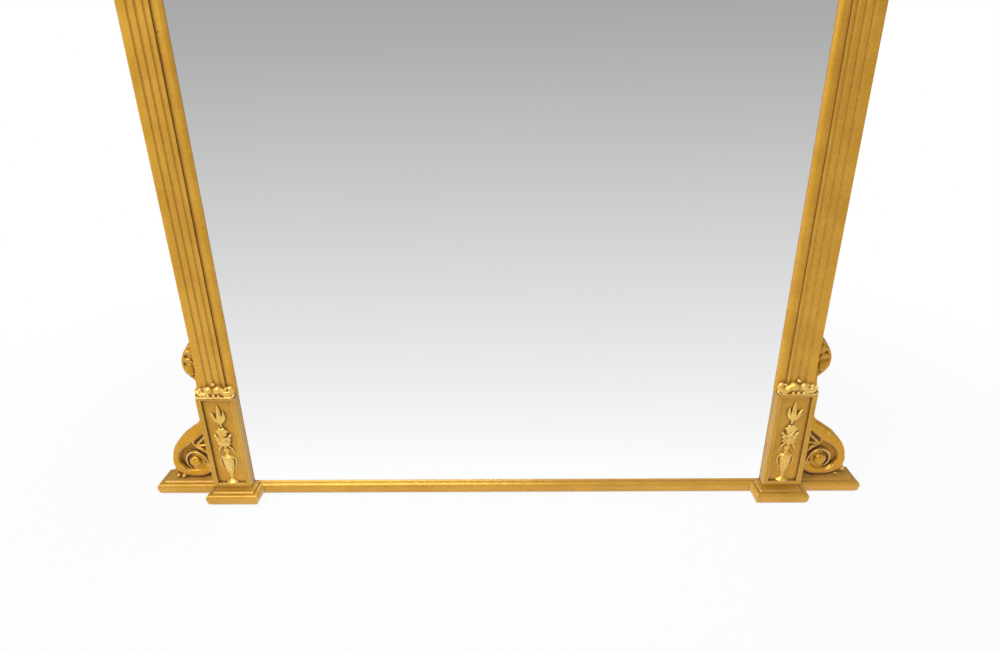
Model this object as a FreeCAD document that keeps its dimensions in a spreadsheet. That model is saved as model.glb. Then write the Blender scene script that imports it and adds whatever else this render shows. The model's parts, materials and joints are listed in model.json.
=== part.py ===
import FreeCAD, Part
import math
import os

import Sketcher

# Giltwood overmantel mirror. X runs to the right, Y to the wall and Z up, in millimetres.
# The origin is on the shelf, at the middle of the base's length and depth.

os.makedirs("parts", exist_ok=True)
doc = FreeCAD.newDocument("overmantel_mirror")
sheet = doc.addObject("Spreadsheet::Sheet", "Sizes")

DRIVING_SIZES = (
    ("sight_width", 1100, "glass seen between the sight mouldings"),
    ("sight_height", 1340, "glass seen above the ledge"),
    ("glass_to_wall", 43, "front of the glass to the wall"),
    ("glass_thickness", 5, "mirror plate"),
    ("glass_lap", 8, "glass hidden behind its mouldings"),
    ("glass_play", 2, "room round the edge of the glass"),
    ("ledge_height", 30, "moulded ledge that stands on the shelf"),
    ("rail_reach", 17, "ledge nosing before the glass"),
    ("block_reach", 57, "nosing of the break under a plinth before the glass"),
    ("block_inner_margin", 24, "break beyond the plinth, towards the glass"),
    ("block_outer_margin", 7, "break beyond the plinth, outwards"),
    ("wing_length", 124, "ledge beyond the break"),
    ("edge_depth", 20, "depth of the moulded edge of the ledge"),
    ("under_round", 15, "rounding under the nosing, from front to back"),
    ("under_rise", 18, "rounding under the nosing, upwards"),
    ("nosing_round", 4, "rounding on top of the nosing"),
    ("nosing_swell", 1, "convex face of the nosing"),
    ("nosing_drop", 1.2, "nosing below the flat of the ledge"),
    ("quirk_inset", 9.5, "front of the quirk from the nosing"),
    ("quirk_depth", 1.8, "quirk below the nosing's top"),
    ("quirk_width", 2.8, "quirk between nosing and bead"),
    ("bead_width", 4.4, "bead behind the quirk"),
    ("bead_rise", 1.1, "bead above the flat of the ledge"),
    ("plinth_width", 80, "plinth block"),
    ("plinth_height", 218, "plinth block above the ledge"),
    ("plinth_reach", 24, "face of the plinth before the glass"),
    ("plinth_inset", 1, "plinth back from the sight line"),
    ("plinth_frame_thickness", 8, "frame round the sunk panel"),
    ("plinth_side", 9.5, "side of that frame"),
    ("plinth_foot", 9, "bottom of that frame"),
    ("plinth_head", 5, "top of that frame"),
    ("sight_moulding_width", 19.5, "slip between glass and pilaster"),
    ("sight_moulding_reach", 8, "its highest line before the glass"),
    ("sight_lip", 3, "its edge on the glass"),
    ("sight_quirk", 3.5, "groove along the pilaster"),
    ("pilaster_width", 56, "fluted board"),
    ("pilaster_reach", 12, "face of the pilaster before the glass"),
    ("pilaster_round", 3, "rounded outer arris"),
    ("flute_width", 6.5, "flute"),
    ("flute_depth", 3, "flute"),
    ("flute_pitch", 14, "from flute to flute"),
    ("flute_margin", 20, "outer edge to the first flute"),
    ("frieze_height", 90, "frieze above the pilasters"),
    ("frieze_reach", 7, "face of the frieze board before the glass"),
    ("capital_reach", 20, "face of the capital block before the glass"),
    ("capital_overhang", 3, "capital block beyond the pilaster"),
    ("capital_moulding", 5, "band at the head and foot of a capital"),
    ("cornice_height", 62, "moulded cornice"),
    ("cornice_projection", 30, "cornice before what it crowns"),
    ("cornice_back", 14, "wood of the cornice behind that face"),
    ("top_board_thickness", 9, "dust board"),
    ("top_board_inset", 6, "dust board back from the cornice's edge"),
    ("patera_radius", 24, "round patera on a capital"),
    ("patera_relief", 9, "patera"),
    ("scroll_width", 104, "scroll bracket beyond the stile"),
    ("scroll_height", 328, "scroll bracket above the ledge"),
    ("scroll_setback", 10, "face of the bracket behind the glass front"),
    ("scroll_sink", 5, "sunk ground of the scroll"),
    ("rosette_radius", 13, "rosette in the eye of the scroll"),
    ("rosette_relief", 7, "rosette"),
    ("rosette_stem_radius", 3, "pin of the rosette in the bracket"),
    ("rosette_stem_length", 12, "pin of the rosette in the bracket"),
    ("ear_relief", 4, "leaves on the bracket's ear"),
    ("urn_height", 84, "urn with its foot and ball"),
    ("urn_radius", 13, "rim of the urn"),
    ("urn_sunk_axis", 2, "axis of the urn behind the panel"),
    ("spray_height", 190, "whole spray on the plinth panel"),
    ("spray_relief", 6, "leaves of the spray"),
    ("collar_rise", 31, "leafy crest of the collar"),
    ("collar_strip", 5, "fillet under the crest"),
    ("collar_overhang", 1.5, "fillet beyond the plinth"),
    ("rail_height", 60, "bottom and middle rails"),
    ("middle_rail_thickness", 20, "middle rail"),
    ("backboard_thickness", 9, "backboards"),
    ("rebate_width", 12, "rebate in the stiles for the backboards"),
    ("board_gap", 1, "gap between backboards"),
    ("tenon_length", 36, "tenons"),
    ("tenon_thickness", 10, "tenons"),
    ("tenon_shoulder", 10, "shoulder above and below a tenon"),
    ("peg_radius", 4, "pegs through the tenons"),
    ("peg_length", 30, "pegs through the tenons"),
    ("glazing_block_side", 14, "glazing blocks"),
    ("glazing_block_length", 50, "glazing blocks"),
    ("nail_radius", 1.2, "backboard nails"),
    ("nail_head_radius", 2.8, "backboard nails"),
    ("nail_head_thickness", 1.2, "backboard nails"),
    ("nail_length", 24, "backboard nails"),
    ("screw_radius", 2.5, "screws up through the ledge"),
    ("screw_head_radius", 5, "screws up through the ledge"),
    ("screw_head_height", 4, "screws up through the ledge"),
    ("screw_sink", 6, "heads above the ledge's underside"),
    ("screw_length", 54, "screws up through the ledge"),
    ("dowel_radius", 4, "dowels of the scroll brackets"),
    ("dowel_length", 40, "dowels of the scroll brackets"),
    ("wall_plate_width", 44, "brass wall plate"),
    ("wall_plate_height", 44, "brass wall plate"),
    ("wall_plate_thickness", 2.5, "brass wall plate"),
    ("wall_plate_tab", 20, "part of the wall plate beside the frame"),
    ("wall_plate_drop", 150, "centre of the wall plate below the pilaster's top"),
    ("wall_hole_radius", 2.75, "hole for the wall screw"),
    ("plate_screw_radius", 2, "screws of the wall plate"),
    ("plate_screw_head_radius", 3.6, "screws of the wall plate"),
    ("plate_screw_length", 20, "screws of the wall plate"),
    ("overrun", 5, "length by which a cutting tool passes a face"),
)


class Length:
    """A length as an expression on the sheet, with its present value."""

    def __init__(self, text, value):
        self.text = text
        self.value = value

    def joined(self, sign, other):
        other = as_length(other)
        values = {
            "+": self.value + other.value,
            "-": self.value - other.value,
            "*": self.value * other.value,
        }
        value = self.value / other.value if sign == "/" else values[sign]
        return Length(f"({self.text} {sign} {other.text})", value)

    def __add__(self, other):
        return self.joined("+", other)

    def __radd__(self, other):
        return as_length(other).joined("+", self)

    def __sub__(self, other):
        return self.joined("-", other)

    def __rsub__(self, other):
        return as_length(other).joined("-", self)

    def __mul__(self, other):
        return self.joined("*", other)

    def __rmul__(self, other):
        return as_length(other).joined("*", self)

    def __truediv__(self, other):
        return self.joined("/", other)

    def __neg__(self):
        return Length(f"(-{self.text})", -self.value)

    def __float__(self):
        return float(self.value)


def as_length(number):
    if isinstance(number, Length):
        return number
    return Length(repr(float(number)), float(number))


class SizeNames:
    """The driving sizes by name."""


size = SizeNames()
for row, (alias, value, meaning) in enumerate(DRIVING_SIZES, start=1):
    sheet.set(f"A{row}", meaning)
    sheet.set(f"B{row}", str(value))
    sheet.setAlias(f"B{row}", alias)
    setattr(size, alias, Length(f"Sizes.{alias}", float(value)))
doc.recompute()

sub_parts = {}
AXES = ("x", "y", "z")
TURN_TO_AXIS = {
    "x": FreeCAD.Rotation(FreeCAD.Vector(0, 1, 0), 90),
    "y": FreeCAD.Rotation(FreeCAD.Vector(1, 0, 0), -90),
    "z": FreeCAD.Rotation(),
}


def bind(thing, **properties):
    for name, length in properties.items():
        thing.setExpression(name, as_length(length).text)
    return thing


def place(thing, corner):
    for axis, length in zip(AXES, corner):
        thing.setExpression(f"Placement.Base.{axis}", as_length(length).text)
    return thing


def keep(label, thing):
    """Registers a finished sub-part under the name of its file."""
    thing.Label = label
    sub_parts[label] = thing
    return thing


def box(label, x, y, z):
    """A board from its low and high limits along each axis."""
    board = doc.addObject("Part::Box", label)
    bind(board, Length=x[1] - x[0], Width=y[1] - y[0], Height=z[1] - z[0])
    return place(board, (x[0], y[0], z[0]))


def rod(label, start, radius, length, axis="z"):
    """A round bar that runs from start in the direction of the axis."""
    bar = doc.addObject("Part::Cylinder", label)
    bind(bar, Radius=radius, Height=length)
    bar.Placement.Rotation = TURN_TO_AXIS[axis]
    return place(bar, start)


def ball(label, centre, radius):
    bead = doc.addObject("Part::Sphere", label)
    bind(bead, Radius=radius)
    return place(bead, centre)


def fuse(label, shapes):
    joined = doc.addObject("Part::MultiFuse", label)
    joined.Shapes = shapes
    joined.Refine = True
    return joined


def cut(label, base, tools):
    removed = tools[0] if len(tools) == 1 else fuse(f"{label}_tools", tools)
    result = doc.addObject("Part::Cut", label)
    result.Base = base
    result.Tool = removed
    result.Refine = True
    return result


def common(label, shapes):
    shared = doc.addObject("Part::MultiCommon", label)
    shared.Shapes = shapes
    shared.Refine = True
    return shared


def mirrored(label, source):
    """The same piece on the other side of the middle plane."""
    other = doc.addObject("Part::Mirroring", label)
    other.Source = source
    other.Normal = FreeCAD.Vector(1, 0, 0)
    return other


def keep_pair(name, right):
    keep(f"{name}_right", right)
    return keep(f"{name}_left", mirrored(f"{name}_left", right))


def group(label, solids):
    """Like pieces that stay separate solids in one node."""
    together = doc.addObject("Part::Compound", label)
    together.Links = solids
    return keep(label, together)


def draw(sketch, start, steps):
    """Draws a closed outline. A step is a point, or the middle and end of an arc."""
    corners = [start] + [step[-1] for step in steps]
    vectors = [FreeCAD.Vector(float(u), float(v), 0) for u, v in corners]
    vectors[-1] = vectors[0]
    constraints = []
    expressions = []

    def pin(geometry, end, point):
        for kind, length in zip(("DistanceX", "DistanceY"), point):
            constraints.append(Sketcher.Constraint(kind, -1, 1, geometry, end, float(length)))
            expressions.append(as_length(length).text)

    first = sketch.GeometryCount
    ends = []
    for index, step in enumerate(steps):
        begin, end = vectors[index], vectors[index + 1]
        if len(step) == 2:
            middle = FreeCAD.Vector(float(step[0][0]), float(step[0][1]), 0)
            sketch.addGeometry(Part.Arc(begin, middle, end))
            turns_left = (middle - begin).cross(end - begin).z > 0
            ends.append((1, 2) if turns_left else (2, 1))
        else:
            sketch.addGeometry(Part.LineSegment(begin, end))
            ends.append((1, 2))
    for index, step in enumerate(steps):
        geometry = first + index
        following = first + (index + 1) % len(steps)
        pin(geometry, ends[index][0], corners[index])
        constraints.append(Sketcher.Constraint(
            "Coincident", geometry, ends[index][1], following, ends[following - first][0]))
        expressions.append(None)
        if len(step) == 2:
            marker = sketch.addGeometry(Part.Point(FreeCAD.Vector(*map(float, step[0]), 0)), True)
            pin(marker, 1, step[0])
            constraints.append(Sketcher.Constraint("PointOnObject", marker, 1, geometry))
            expressions.append(None)
    numbers = sketch.addConstraint(constraints)
    for number, expression in zip(numbers, expressions):
        if expression:
            sketch.setExpression(f"Constraints[{number}]", expression)


def sketch_in(body, role, label, offset=0):
    """A sketch on one of the body's own planes, moved along the plane's normal by offset."""
    sketch = body.newObject("Sketcher::SketchObject", label)
    plane = next(part for part in body.Origin.OriginFeatures if part.Role == role)
    sketch.AttachmentSupport = [(plane, "")]
    sketch.MapMode = "FlatFace"
    sketch.setExpression("AttachmentOffset.Base.z", as_length(offset).text)
    return sketch


def padded(label, role, outlines, low, high):
    """A body padded between two levels of a plane. XZ_Plane looks along -Y, so it is reversed."""
    body = doc.addObject("PartDesign::Body", label)
    backwards = role == "XZ_Plane"
    sketch = sketch_in(body, role, f"{label}_outline", -high if backwards else low)
    for start, steps in outlines:
        draw(sketch, start, steps)
    pad = body.newObject("PartDesign::Pad", f"{label}_pad")
    pad.Profile = sketch
    bind(pad, Length=high - low)
    body.Tip = pad
    return body


def rectangle(x, z):
    return (x[0], z[0]), [((x[1], z[0]),), ((x[1], z[1]),), ((x[0], z[1]),), ((x[0], z[0]),)]


def polygon(points):
    return points[0], [(point,) for point in points[1:]] + [(points[0],)]


def leaf(label, foot, tip, swell_share, low, high):
    """A carved leaf with bowed sides from foot to tip, upright between two depths."""
    along_x, along_z = tip[0] - foot[0], tip[1] - foot[1]
    middle = (foot[0] + along_x * half, foot[1] + along_z * half)
    sides = [(middle[0] + along_z * swell_share * way, middle[1] - along_x * swell_share * way)
             for way in (1, -1)]
    return padded(label, "XZ_Plane", [(foot, [(sides[0], tip), (sides[1], foot)])], low, high)


half = Length("0.5", 0.5)
ARC_SHARE = 1 - math.sqrt(0.5)

# Levels that the pieces share. Front faces look towards -Y.
depth = size.block_reach + size.glass_to_wall
wall_y = depth * half
glass_y = wall_y - size.glass_to_wall
glass_back = glass_y + size.glass_thickness
pilaster_y = glass_y - size.pilaster_reach
plinth_y = glass_y - size.plinth_reach
panel_y = plinth_y + size.plinth_frame_thickness
board_y = wall_y - size.backboard_thickness
scroll_y = glass_y + size.scroll_setback

sight_x = size.sight_width * half
glass_x = sight_x + size.glass_lap
stile_x = glass_x + size.glass_play
pilaster_x = sight_x + size.sight_moulding_width
outer_x = pilaster_x + size.pilaster_width
plinth_x = sight_x + size.plinth_inset
plinth_outer_x = plinth_x + size.plinth_width
plinth_middle = plinth_x + size.plinth_width * half
block_x = plinth_x - size.block_inner_margin
block_outer_x = plinth_outer_x + size.block_outer_margin
wing_x = block_outer_x + size.wing_length

ledge_z = size.ledge_height
plinth_z = ledge_z + size.plinth_height
sight_z = ledge_z + size.sight_height
glass_z = sight_z + size.glass_lap
rail_z = glass_z + size.glass_play
pilaster_z = sight_z + size.sight_moulding_width
frieze_z = pilaster_z + size.frieze_height
cornice_z = frieze_z + size.cornice_height
middle_rail_z = ledge_z + (size.sight_height - size.rail_height) * half

# Mortises, tenons and pegs of the carcase. Each rail has a tenon at both ends.
tenon_y = board_y - (size.middle_rail_thickness + size.tenon_thickness) * half
tenon_y_range = (tenon_y, tenon_y + size.tenon_thickness)
rail_levels = {
    "bottom_rail": (ledge_z, ledge_z + size.rail_height),
    "middle_rail": (middle_rail_z, middle_rail_z + size.rail_height),
    "top_rail": (rail_z, frieze_z),
}
rail_fronts = {
    "bottom_rail": glass_back + size.glass_play,
    "middle_rail": board_y - size.middle_rail_thickness,
    "top_rail": glass_y,
}


def tenon_range(rail):
    low, high = rail_levels[rail]
    return low + size.tenon_shoulder, high - size.tenon_shoulder


def peg(label, rail, side):
    """A peg driven from behind through the middle of a tenon."""
    low, high = rail_levels[rail]
    x = (stile_x + size.tenon_length * half) * side
    return rod(label, (x, wall_y - size.peg_length, (low + high) * half),
               size.peg_radius, size.peg_length, "y")


# Screws up through the ledge, each with a countersunk head: X from the middle, and Y.
screw_y = (glass_back + board_y) * half + size.glass_play
plinth_screw_y = (panel_y + glass_y) * half
stile_middle = (stile_x + size.tenon_length + outer_x) * half
scroll_screw_x = outer_x + size.scroll_width * half
screw_places = {
    "stile": (stile_middle, screw_y),
    "plinth": (plinth_middle, plinth_screw_y),
    "scroll": (scroll_screw_x, screw_y),
    "rail": (sight_x * half, screw_y),
}


def ledge_screw(label, place_name, side=1):
    x, y = screw_places[place_name]
    x = x * side
    shank = rod(f"{label}_shank", (x, y, size.screw_sink), size.screw_radius, size.screw_length)
    head = doc.addObject("Part::Cone", f"{label}_head")
    bind(head, Radius1=size.screw_head_radius, Radius2=size.screw_radius, Height=size.screw_head_height)
    place(head, (x, y, size.screw_sink))
    return fuse(label, [shank, head])


def ledge_screw_well(label, place_name, side=1):
    """The counterbore under a screw, from the underside of the ledge up to the head."""
    x, y = screw_places[place_name]
    return rod(label, (x * side, y, -size.overrun), size.screw_head_radius,
               size.overrun + size.screw_sink)


# Wall plates let into the back of the stiles, each with two screws and a hole for the wall.
plate_z = pilaster_z - size.wall_plate_drop
plate_low_x = outer_x + size.wall_plate_tab - size.wall_plate_width
plate_high_x = outer_x + size.wall_plate_tab
plate_range_z = (plate_z - size.wall_plate_height * half, plate_z + size.wall_plate_height * half)
plate_screw_x = (plate_low_x + outer_x) * half
plate_screw_levels = (plate_z - size.wall_plate_height / 4, plate_z + size.wall_plate_height / 4)
wall_hole_x = (outer_x + plate_high_x) * half


def plate_blank(label):
    return box(label, (plate_low_x, plate_high_x),
               (wall_y - size.wall_plate_thickness, wall_y), plate_range_z)


def plate_screw(label, level):
    """A countersunk screw driven forward from the back of the plate."""
    shank = rod(f"{label}_shank", (plate_screw_x, wall_y - size.plate_screw_length, level),
                size.plate_screw_radius, size.plate_screw_length, "y")
    head = doc.addObject("Part::Cone", f"{label}_head")
    bind(head, Radius1=size.plate_screw_radius, Radius2=size.plate_screw_head_radius,
         Height=size.wall_plate_thickness)
    head.Placement.Rotation = TURN_TO_AXIS["y"]
    place(head, (plate_screw_x, wall_y - size.wall_plate_thickness, level))
    return fuse(label, [shank, head])


def plate_screws(prefix):
    return [plate_screw(f"{prefix}_{number}", level)
            for number, level in enumerate(plate_screw_levels, start=1)]


# Dowels between the scroll bracket and the stile.
dowel_levels_share = (0.12, 0.62)
dowel_y = (scroll_y + wall_y) * half


def dowels(prefix):
    return [rod(f"{prefix}_{number}",
                (outer_x - size.dowel_length * half, dowel_y, ledge_z + size.scroll_height * share),
                size.dowel_radius, size.dowel_length, "x")
            for number, share in enumerate(dowel_levels_share, start=1)]


# Stiles: upright pine bars with a rebate for the backboards.
stile_blank = box("stile_blank", (stile_x, outer_x), (glass_y, wall_y), (ledge_z, frieze_z))
stile_cuts = [
    box("stile_rebate", (stile_x - size.overrun, stile_x + size.rebate_width),
        (board_y, wall_y + size.overrun), (ledge_z - size.overrun, frieze_z + size.overrun)),
    plate_blank("stile_plate_recess"),
    ledge_screw("stile_screw_hole", "stile"),
]
for rail in rail_levels:
    stile_cuts.append(box(f"{rail}_mortise", (stile_x - size.overrun, stile_x + size.tenon_length),
                          tenon_y_range, tenon_range(rail)))
    stile_cuts.append(peg(f"{rail}_peg_hole", rail, 1))
stile_cuts += plate_screws("stile_plate_screw_hole")
stile_cuts += dowels("stile_dowel_hole")
keep_pair("stile", cut("stile_cut", stile_blank, stile_cuts))

# Backboard nails: two to a board at each rail.
BOARD_NAMES = ("left", "centre_left", "centre_right", "right")
board_span = (stile_x + size.rebate_width) * 2
board_width = (board_span - size.board_gap * (len(BOARD_NAMES) - 1)) / len(BOARD_NAMES)
nail_edge_share = 0.18
nail_low_share = 0.5
nail_high_share = 0.35


def board_start(index):
    return -board_span * half + (board_width + size.board_gap) * index


def nail_level(rail):
    low, high = rail_levels[rail]
    return low + (high - low) * (nail_high_share if rail == "top_rail" else nail_low_share)


def nails(prefix, boards, rails):
    made = []
    for index in boards:
        for rail in rails:
            for share in (nail_edge_share, 1 - nail_edge_share):
                x = board_start(index) + board_width * share
                label = f"{prefix}_{index}_{rail}_{len(made)}"
                shank = rod(f"{label}_shank", (x, wall_y - size.nail_length, nail_level(rail)),
                            size.nail_radius, size.nail_length, "y")
                head = rod(f"{label}_head", (x, wall_y - size.nail_head_thickness, nail_level(rail)),
                           size.nail_head_radius, size.nail_head_thickness, "y")
                made.append(fuse(label, [shank, head]))
    return made


# Rails: cross bars with a shouldered tenon at each end.
for rail, levels in rail_levels.items():
    bar = box(f"{rail}_bar", (-stile_x, stile_x), (rail_fronts[rail], board_y), levels)
    tenon = box(f"{rail}_tenon", (-stile_x - size.tenon_length, stile_x + size.tenon_length),
                tenon_y_range, tenon_range(rail))
    holes = [peg(f"{rail}_peg_bore_left", rail, -1), peg(f"{rail}_peg_bore_right", rail, 1)]
    holes += nails(f"{rail}_nail_hole", range(len(BOARD_NAMES)), (rail,))
    if rail == "bottom_rail":
        holes += [ledge_screw(f"rail_screw_hole_{side}", "rail", side) for side in (-1, 1)]
    keep(rail, cut(f"{rail}_cut", fuse(f"{rail}_whole", [bar, tenon]), holes))

group("joint_pegs", [peg(f"{rail}_peg_{side}", rail, side) for rail in rail_levels for side in (-1, 1)])

# Backboards: thin upright planks nailed to the rails.
for index, name in enumerate(BOARD_NAMES):
    plank = box(f"plank_{name}", (board_start(index), board_start(index) + board_width),
                (board_y, wall_y), (ledge_z, frieze_z))
    keep(f"back_board_{name}",
         cut(f"plank_{name}_cut", plank, nails(f"{name}_nail_hole", (index,), rail_levels)))
group("back_board_nails", nails("nail", range(len(BOARD_NAMES)), rail_levels))

# Mirror plate, and the blocks glued behind its edges.
keep("mirror_plate", box("plate", (-glass_x, glass_x), (glass_y, glass_back),
                         (ledge_z - size.glass_lap, glass_z)))
block_count = 5
block_step = size.sight_height / (block_count + 1)
block_step_x = size.sight_width / (block_count + 1)
block_y = (glass_back, glass_back + size.glazing_block_side)
glazing_blocks = []
for number in range(1, block_count + 1):
    low = ledge_z + block_step * number - size.glazing_block_length * 2
    for side, x in (("left", (-stile_x, -stile_x + size.glazing_block_side)),
                    ("right", (stile_x - size.glazing_block_side, stile_x))):
        glazing_blocks.append(box(f"glazing_block_{side}_{number}", x, block_y,
                                  (low, low + size.glazing_block_length)))
    start = -sight_x + block_step_x * number - size.glazing_block_length * half
    glazing_blocks.append(box(f"glazing_block_top_{number}", (start, start + size.glazing_block_length),
                              block_y, (rail_z - size.glazing_block_side, rail_z)))
group("glazing_blocks", glazing_blocks)

# Fluted pilasters: one worked board each, drawn in plan and run from plinth to capital.
flute_centres = [outer_x - size.flute_margin - size.flute_pitch * number for number in range(3)]
round_share = Length(repr(ARC_SHARE), ARC_SHARE)
pilaster_steps = [
    ((outer_x, glass_y),),
    ((outer_x, pilaster_y + size.pilaster_round),),
    ((outer_x - size.pilaster_round * round_share, pilaster_y + size.pilaster_round * round_share),
     (outer_x - size.pilaster_round, pilaster_y)),
]
for centre in flute_centres:
    pilaster_steps.append(((centre + size.flute_width * half, pilaster_y),))
    pilaster_steps.append(((centre, pilaster_y + size.flute_depth),
                           (centre - size.flute_width * half, pilaster_y)))
pilaster_steps += [((pilaster_x, pilaster_y),), ((pilaster_x, glass_y),)]
keep_pair("pilaster", padded("pilaster_body", "XY_Plane", [((pilaster_x, glass_y), pilaster_steps)],
                             plinth_z, pilaster_z))


# Sight mouldings: an ovolo that rises from a lip on the glass to a quirk along the pilaster.
slip_crown_share = 0.42
slip_swell_share = 0.82
slip_edge_share = 0.9


def sight_profile(at):
    """Outline of the slip. The call at(across, reach) gives a point of the sketch."""
    crown = size.sight_moulding_width - size.sight_quirk
    reach = size.sight_moulding_reach
    return at(0, 0), [
        (at(0, size.sight_lip),),
        (at(crown * slip_crown_share * half, reach * slip_swell_share), at(crown * slip_crown_share, reach)),
        (at(crown, reach * slip_edge_share),),
        (at(crown, size.sight_lip),),
        (at(size.sight_moulding_width, size.sight_lip),),
        (at(size.sight_moulding_width, 0),),
        (at(0, 0),),
    ]


side_slip = padded("side_slip", "XY_Plane",
                   [sight_profile(lambda across, reach: (sight_x + across, glass_y - reach))],
                   plinth_z, pilaster_z)
side_slip_limits = padded("side_slip_limits", "XZ_Plane", [polygon([
    (sight_x, plinth_z), (pilaster_x, plinth_z), (pilaster_x, pilaster_z), (sight_x, sight_z),
])], pilaster_y, glass_y)
keep_pair("sight_moulding", common("side_slip_mitred", [side_slip, side_slip_limits]))
top_slip = padded("top_slip", "YZ_Plane",
                  [sight_profile(lambda across, reach: (glass_y - reach, sight_z + across))],
                  -pilaster_x, pilaster_x)
top_slip_limits = padded("top_slip_limits", "XZ_Plane", [polygon([
    (-sight_x, sight_z), (sight_x, sight_z), (pilaster_x, pilaster_z), (-pilaster_x, pilaster_z),
])], pilaster_y, glass_y)
keep("sight_moulding_top", common("top_slip_mitred", [top_slip, top_slip_limits]))

# Plinth blocks, each with a mitred frame planted round a sunk panel.
plinth_range = (plinth_x, plinth_outer_x)
plinth_levels = (ledge_z, plinth_z)
plinth_body = box("plinth_body", plinth_range, (panel_y, glass_y), plinth_levels)
keep_pair("plinth_block", cut("plinth_bored", plinth_body, [ledge_screw("plinth_screw_hole", "plinth")]))
panel_range = (plinth_x + size.plinth_side, plinth_outer_x - size.plinth_side)
panel_levels = (ledge_z + size.plinth_foot, plinth_z - size.plinth_head)
keep_pair("plinth_frame", padded("plinth_frame_body", "XZ_Plane",
                                 [rectangle(plinth_range, plinth_levels),
                                  rectangle(panel_range, panel_levels)],
                                 plinth_y, panel_y))


def turned(label, role, start, steps, centre):
    """A body revolved about the upright axis of the sketch, with that axis through centre."""
    body = doc.addObject("PartDesign::Body", label)
    sketch = sketch_in(body, role, f"{label}_outline")
    draw(sketch, start, steps)
    spun = body.newObject("PartDesign::Revolution", f"{label}_spun")
    spun.Profile = sketch
    spun.ReferenceAxis = (sketch, ["V_Axis"])
    spun.Angle = 360
    body.Tip = spun
    return place(body, centre)


# Leafy collars: a crest of balls and curled leaves on a fillet, planted on the pilaster's foot.
collar_y = plinth_y - size.collar_overhang * 2
collar_x = (plinth_x - size.collar_overhang, plinth_outer_x + size.collar_overhang)
collar_leaf_share = 0.7
collar_leaf_y = pilaster_y - (pilaster_y - collar_y) * collar_leaf_share


def collar_point(across_share, up_share):
    return plinth_middle + size.plinth_width * across_share, plinth_z + size.collar_rise * up_share


# Leaves by foot, tip and swell, and balls by centre and radius, as shares of width and rise.
collar_leaf_shares = (
    ((0, 0.04), (0, 0.9), 0.3),
    ((0.47, 0.1), (0.12, 0.62), 0.28),
    ((-0.47, 0.1), (-0.12, 0.62), 0.28),
    ((0.3, 0.05), (0.47, 0.55), 0.3),
    ((-0.3, 0.05), (-0.47, 0.55), 0.3),
)
collar_ball_shares = ((0.1, 0.5, 0.085), (-0.1, 0.5, 0.085), (0, 0.86, 0.045))
collar_parts = [box("collar_fillet", collar_x, (collar_y, pilaster_y),
                    (plinth_z, plinth_z + size.collar_strip))]
for number, (foot, tip, swell_share) in enumerate(collar_leaf_shares):
    collar_parts.append(leaf(f"collar_leaf_{number}", collar_point(*foot), collar_point(*tip),
                             swell_share, collar_leaf_y, pilaster_y))
for number, (across_share, up_share, radius_share) in enumerate(collar_ball_shares):
    x, z = collar_point(across_share, up_share)
    collar_parts.append(ball(f"collar_ball_{number}", (x, collar_leaf_y, z), size.plinth_width * radius_share))
collar_limits = box("collar_limits", (collar_x[0], collar_x[1]),
                    (collar_y - size.overrun, pilaster_y), (plinth_z, plinth_z + size.collar_rise * 2))
keep_pair("leaf_collar", common("collar_cut", [fuse("collar_whole", collar_parts), collar_limits]))

# Urn sprays: a turned half urn with flowers and a bellflower above it, planted on the panel.
urn_radius, urn_height = size.urn_radius, size.urn_height
urn_z = panel_levels[0]
# The urn's outline by radius and height, one point to a straight and two to an arc: the foot, the
# stem, the body, the rim and the ball on its lid.
urn_shares = (
    ((1, 0),),
    ((1, 0.05),),
    ((0.5, 0.08), (0.28, 0.2)),
    ((0.28, 0.26),),
    ((0.66, 0.44), (0.8, 0.7)),
    ((1, 0.73),),
    ((1, 0.79),),
    ((0.34, 0.84),),
    ((0.5, 0.92), (0.28, 1)),
    ((0, 1),),
    ((0, 0),),
)


def scaled(shares, across, up):
    """An outline in shares, stretched to two sizes."""
    return [tuple((across * a, up * b) for a, b in points) for points in shares]


urn = turned("urn", "XZ_Plane", (0, 0), scaled(urn_shares, urn_radius, urn_height),
             (plinth_middle, panel_y + size.urn_sunk_axis, urn_z))
# Leaves of the flowers and the bellflower by foot, tip and swell, as shares of width and height.
spray_leaf_shares = (
    ((0, 0.42), (0, 0.72), 0.09),
    ((0, 0.45), (0.24, 0.53), 0.22),
    ((0, 0.45), (-0.24, 0.53), 0.22),
    ((0, 0.51), (0.26, 0.61), 0.22),
    ((0, 0.51), (-0.26, 0.61), 0.22),
    ((0, 0.58), (0.2, 0.69), 0.24),
    ((0, 0.58), (-0.2, 0.69), 0.24),
    ((0, 0.67), (0, 1.02), 0.12),
    ((0, 0.74), (0.2, 0.95), 0.16),
    ((0, 0.74), (-0.2, 0.95), 0.16),
)


def spray_point(across_share, up_share):
    return plinth_middle + size.plinth_width * across_share, urn_z + size.spray_height * up_share


spray_parts = [urn]
for number, (foot, tip, swell_share) in enumerate(spray_leaf_shares):
    spray_parts.append(leaf(f"spray_leaf_{number}", spray_point(*foot), spray_point(*tip), swell_share,
                            panel_y - size.spray_relief, panel_y))
spray_limits = box("spray_limits", panel_range, (panel_y - size.urn_radius * 2, panel_y), panel_levels)
keep_pair("urn_spray", common("spray_cut", [fuse("spray_whole", spray_parts), spray_limits]))

# Scroll brackets: a board cut to a scroll with a sunk coil, beads at its toe and a leafy ear.
scroll_x = outer_x


def scroll_point(across_share, up_share):
    return scroll_x + size.scroll_width * across_share, ledge_z + size.scroll_height * up_share


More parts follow.
